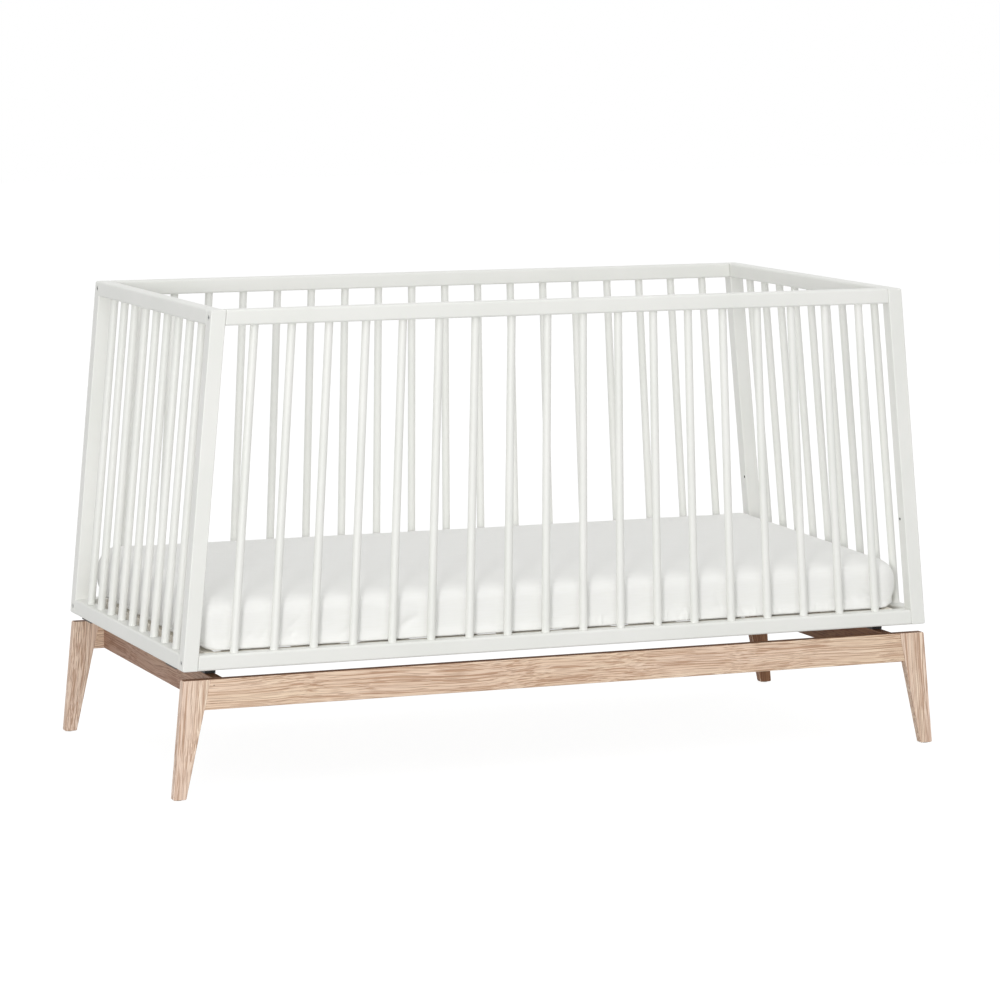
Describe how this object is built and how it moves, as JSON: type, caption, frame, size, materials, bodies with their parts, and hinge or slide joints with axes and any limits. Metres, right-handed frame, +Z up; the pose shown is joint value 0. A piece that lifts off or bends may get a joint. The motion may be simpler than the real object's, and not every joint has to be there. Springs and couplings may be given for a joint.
{
  "type": "baby crib",
  "caption": "Slatted baby cot: white leaning box frame of round slats on a low oak stand with splayed legs, with a raisable lath bed base and a mattress.",
  "frame": {"origin": "on the floor, under the middle of the cot", "axes": "+X along the cot to its right end, +Y from its front to its back, +Z up"},
  "size_m": [1.4972, 0.73, 0.864],
  "materials": {
    "white_lacquer": "satin white lacquer on beech",
    "whitewashed_oak": "pale whitewashed oak, matt oil",
    "birch_plywood": "bare sanded birch",
    "black_steel": "matt black powder coat",
    "zinc_steel": "zinc plate",
    "glide_plastic": "grey moulded plastic",
    "white_cotton": "white cotton fitted sheet"
  },
  "bodies": {
    "frame": {"apron_back": "whitewashed_oak", "apron_front": "whitewashed_oak", "barrel_nut_back_left_bottom": "zinc_steel", "barrel_nut_back_left_top": "zinc_steel", "barrel_nut_back_right_bottom": "zinc_steel", "barrel_nut_back_right_top": "zinc_steel", "barrel_nut_front_left_bottom": "zinc_steel", "barrel_nut_front_left_top": "zinc_steel", "barrel_nut_front_right_bottom": "zinc_steel", "barrel_nut_front_right_top": "zinc_steel", "cross_rail_left": "whitewashed_oak", "cross_rail_right": "whitewashed_oak", "frame_bracket_back_left": "black_steel", "frame_bracket_back_right": "black_steel", "frame_bracket_front_left": "black_steel", "frame_bracket_front_right": "black_steel", "glide_back_left": "glide_plastic", "glide_back_right": "glide_plastic", "glide_front_left": "glide_plastic", "glide_front_right": "glide_plastic", "leg_back_left": "whitewashed_oak", "leg_back_right": "whitewashed_oak", "leg_front_left": "whitewashed_oak", "leg_front_right": "whitewashed_oak", "post_back_left": "white_lacquer", "post_back_right": "white_lacquer", "post_front_left": "white_lacquer", "post_front_right": "white_lacquer", "rail_bolt_back_left_bottom": "zinc_steel", "rail_bolt_back_left_top": "zinc_steel", "rail_bolt_back_right_bottom": "zinc_steel", "rail_bolt_back_right_top": "zinc_steel", "rail_bolt_front_left_bottom": "zinc_steel", "rail_bolt_front_left_top": "zinc_steel", "rail_bolt_front_right_bottom": "zinc_steel", "rail_bolt_front_right_top": "zinc_steel", "slatted_bottom_rail_back": "white_lacquer", "slatted_bottom_rail_front": "white_lacquer", "slatted_bottom_rail_left": "white_lacquer", "slatted_bottom_rail_right": "white_lacquer", "top_rail_back": "white_lacquer", "top_rail_front": "white_lacquer", "top_rail_left": "white_lacquer", "top_rail_right": "white_lacquer"},
    "bed_base": {"bed_base_end_rail_left": "birch_plywood", "bed_base_end_rail_right": "birch_plywood", "bed_base_lath_01": "birch_plywood", "bed_base_lath_02": "birch_plywood", "bed_base_lath_03": "birch_plywood", "bed_base_lath_04": "birch_plywood", "bed_base_lath_05": "birch_plywood", "bed_base_lath_06": "birch_plywood", "bed_base_lath_07": "birch_plywood", "bed_base_lath_08": "birch_plywood", "bed_base_lath_09": "birch_plywood", "bed_base_lath_10": "birch_plywood", "bed_base_side_rail_back": "birch_plywood", "bed_base_side_rail_front": "birch_plywood"},
    "mattress": {"mattress": "white_cotton"}
  },
  "joints": [
    {"name": "bed_base_height", "type": "slide", "parent": "frame", "child": "bed_base", "axis": [0, 0, 1], "range_m": [0, 0.1855]},
    {"name": "mattress_lift", "type": "slide", "parent": "bed_base", "child": "mattress", "axis": [0, 0, 1], "range_m": [0, 0.05]}
  ]
}
